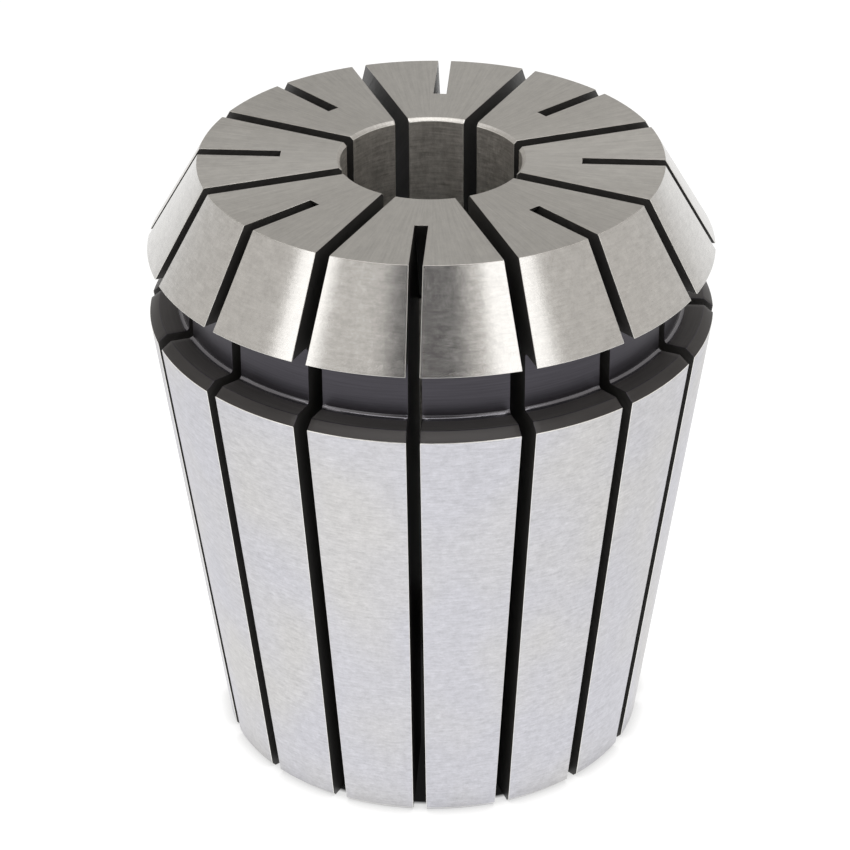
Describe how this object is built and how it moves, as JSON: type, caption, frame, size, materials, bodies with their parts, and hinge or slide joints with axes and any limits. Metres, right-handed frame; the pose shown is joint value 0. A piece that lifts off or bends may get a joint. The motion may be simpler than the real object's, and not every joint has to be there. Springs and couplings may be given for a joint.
{
  "type": "er collet",
  "caption": "Slotted spring collet with a clamping bore, a long shallow body taper, a hooked groove and a steep nose cone.",
  "frame": {"origin": "centre of the rear face, on the collet's axis", "axes": "+Z along the axis, from the rear face to the nose face where the shank enters; +X runs along the middle of a slot that is open at the rear"},
  "size_m": [0.041, 0.041, 0.046],
  "materials": {
    "ground_spring_steel": "satin, ground"
  },
  "bodies": {
    "root": {"collet": "ground_spring_steel"}
  },
  "joints": []
}
